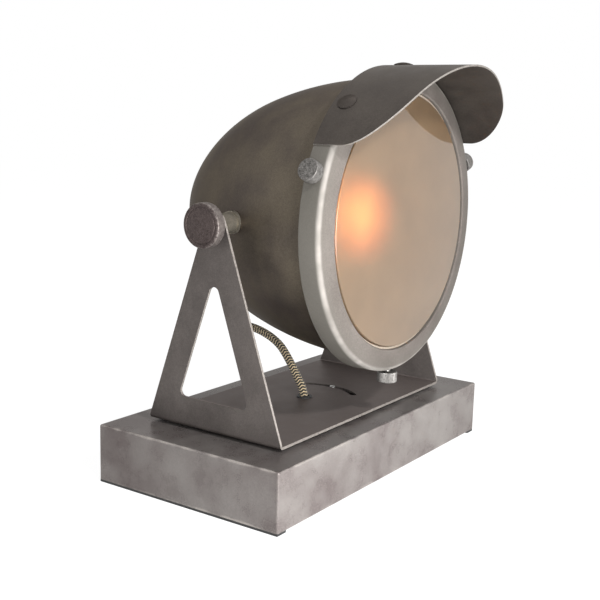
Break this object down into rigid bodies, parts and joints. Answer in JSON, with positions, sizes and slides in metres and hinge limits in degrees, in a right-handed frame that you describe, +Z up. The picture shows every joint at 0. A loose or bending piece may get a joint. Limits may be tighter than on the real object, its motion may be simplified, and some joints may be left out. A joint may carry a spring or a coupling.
{
  "type": "tabletop searchlight lamp",
  "caption": "Tabletop searchlight lamp: a bowl-shaped metal head with frosted lens and visor tilts in a U yoke that pans on a box base, with a braided lead.",
  "frame": {"origin": "middle of the underside of the box round the whole lamp; the pan axis stands 16.12 mm behind it", "axes": "+X along the long side of the base, -Y the way the lens looks, +Z up"},
  "size_m": [0.3, 0.2478, 0.3173],
  "materials": {
    "base_steel": "mottled patina, satin",
    "yoke_steel": "dark patina, satin",
    "shell_steel": "dark patina, satin",
    "bezel_steel": "worn satin",
    "visor_steel": "dark patina, satin",
    "knob_metal": "fine dark texture",
    "thumb_metal": "worn bright",
    "spacer_metal": "satin",
    "fittings": "plated",
    "lens_frosted": "frosted",
    "bulb_opal": "opal",
    "cap_metal": "bright",
    "rubber_black": "matte",
    "bakelite": "matte",
    "terminal_plastic": "matte",
    "cord_textile": "woven braid",
    "lead_sheath": "matte"
  },
  "bodies": {
    "base": {"base_shell": "base_steel", "bottom_plate": "fittings", "bottom_screws": "fittings", "foot_strip_left": "rubber_black", "foot_strip_right": "rubber_black", "terminal_block": "terminal_plastic", "terminal_screws": "fittings", "mains_gland": "rubber_black", "base_lead": "lead_sheath", "pivot_washer": "rubber_black", "stop_pin": "fittings"},
    "yoke": {"yoke": "yoke_steel", "pivot_nipple": "bakelite", "pivot_spring_washer": "fittings", "pivot_nuts": "fittings", "washer_left": "spacer_metal", "washer_right": "spacer_metal"},
    "head": {"head_shell": "shell_steel", "stud_left": "fittings", "stud_right": "fittings", "spacer_left": "spacer_metal", "spacer_right": "spacer_metal", "saddle_left": "fittings", "saddle_right": "fittings", "stud_nut_left": "fittings", "stud_nut_right": "fittings", "head_grommet": "rubber_black", "link_cord": "cord_textile", "head_lead": "lead_sheath", "holder_bracket": "fittings", "bracket_spacer": "fittings", "bracket_screw": "fittings", "bracket_nut": "fittings", "lampholder": "bakelite", "holder_nut": "fittings"},
    "knob_left": {"knob_left": "knob_metal"},
    "knob_right": {"knob_right": "knob_metal"},
    "bulb": {"bulb_cap": "cap_metal", "bulb_glass": "bulb_opal"},
    "bezel": {"bezel_ring": "bezel_steel", "lens_gasket": "rubber_black", "lens_glass": "lens_frosted", "lens_retainer": "fittings", "visor": "visor_steel", "visor_screws": "visor_steel", "visor_nuts": "fittings"},
    "thumbscrew_left": {"thumbscrew_left": "thumb_metal"},
    "thumbscrew_right": {"thumbscrew_right": "thumb_metal"},
    "thumbscrew_bottom": {"thumbscrew_bottom": "thumb_metal"}
  },
  "joints": [
    {"name": "yoke_pan", "type": "hinge", "parent": "base", "child": "yoke", "pos_m": [0, 0.01612, 0.047], "axis": [0, 0, 1], "range_deg": [-40, 40]},
    {"name": "head_tilt", "type": "hinge", "parent": "yoke", "child": "head", "pos_m": [0, 0.01612, 0.2003], "axis": [-1, 0, 0], "range_deg": [-12, 50], "deforming": ["link_cord"]},
    {"name": "knob_left_turn", "type": "hinge", "parent": "head", "child": "knob_left", "pos_m": [-0.126, 0.01612, 0.2003], "axis": [-1, 0, 0], "range_deg": [0, 270]},
    {"name": "knob_right_turn", "type": "hinge", "parent": "head", "child": "knob_right", "pos_m": [0.126, 0.01612, 0.2003], "axis": [1, 0, 0], "range_deg": [0, 270]},
    {"name": "bezel_slide", "type": "slide", "parent": "head", "child": "bezel", "axis": [0, -1, 0], "range_m": [0, 0.06]},
    {"name": "thumbscrew_left_turn", "type": "hinge", "parent": "bezel", "child": "thumbscrew_left", "pos_m": [-0.11276, -0.06088, 0.24134], "axis": [-0.9397, 0, 0.342], "range_deg": [0, 360]},
    {"name": "thumbscrew_right_turn", "type": "hinge", "parent": "bezel", "child": "thumbscrew_right", "pos_m": [0.11276, -0.06088, 0.24134], "axis": [0.9397, 0, 0.342], "range_deg": [0, 360]},
    {"name": "thumbscrew_bottom_turn", "type": "hinge", "parent": "bezel", "child": "thumbscrew_bottom", "pos_m": [0, -0.06088, 0.0803], "axis": [0, 0, -1], "range_deg": [0, 360]},
    {"name": "bulb_turn", "type": "hinge", "parent": "head", "child": "bulb", "pos_m": [0, 0.01612, 0.2003], "axis": [0, -1, 0], "range_deg": [0, 360]}
  ]
}
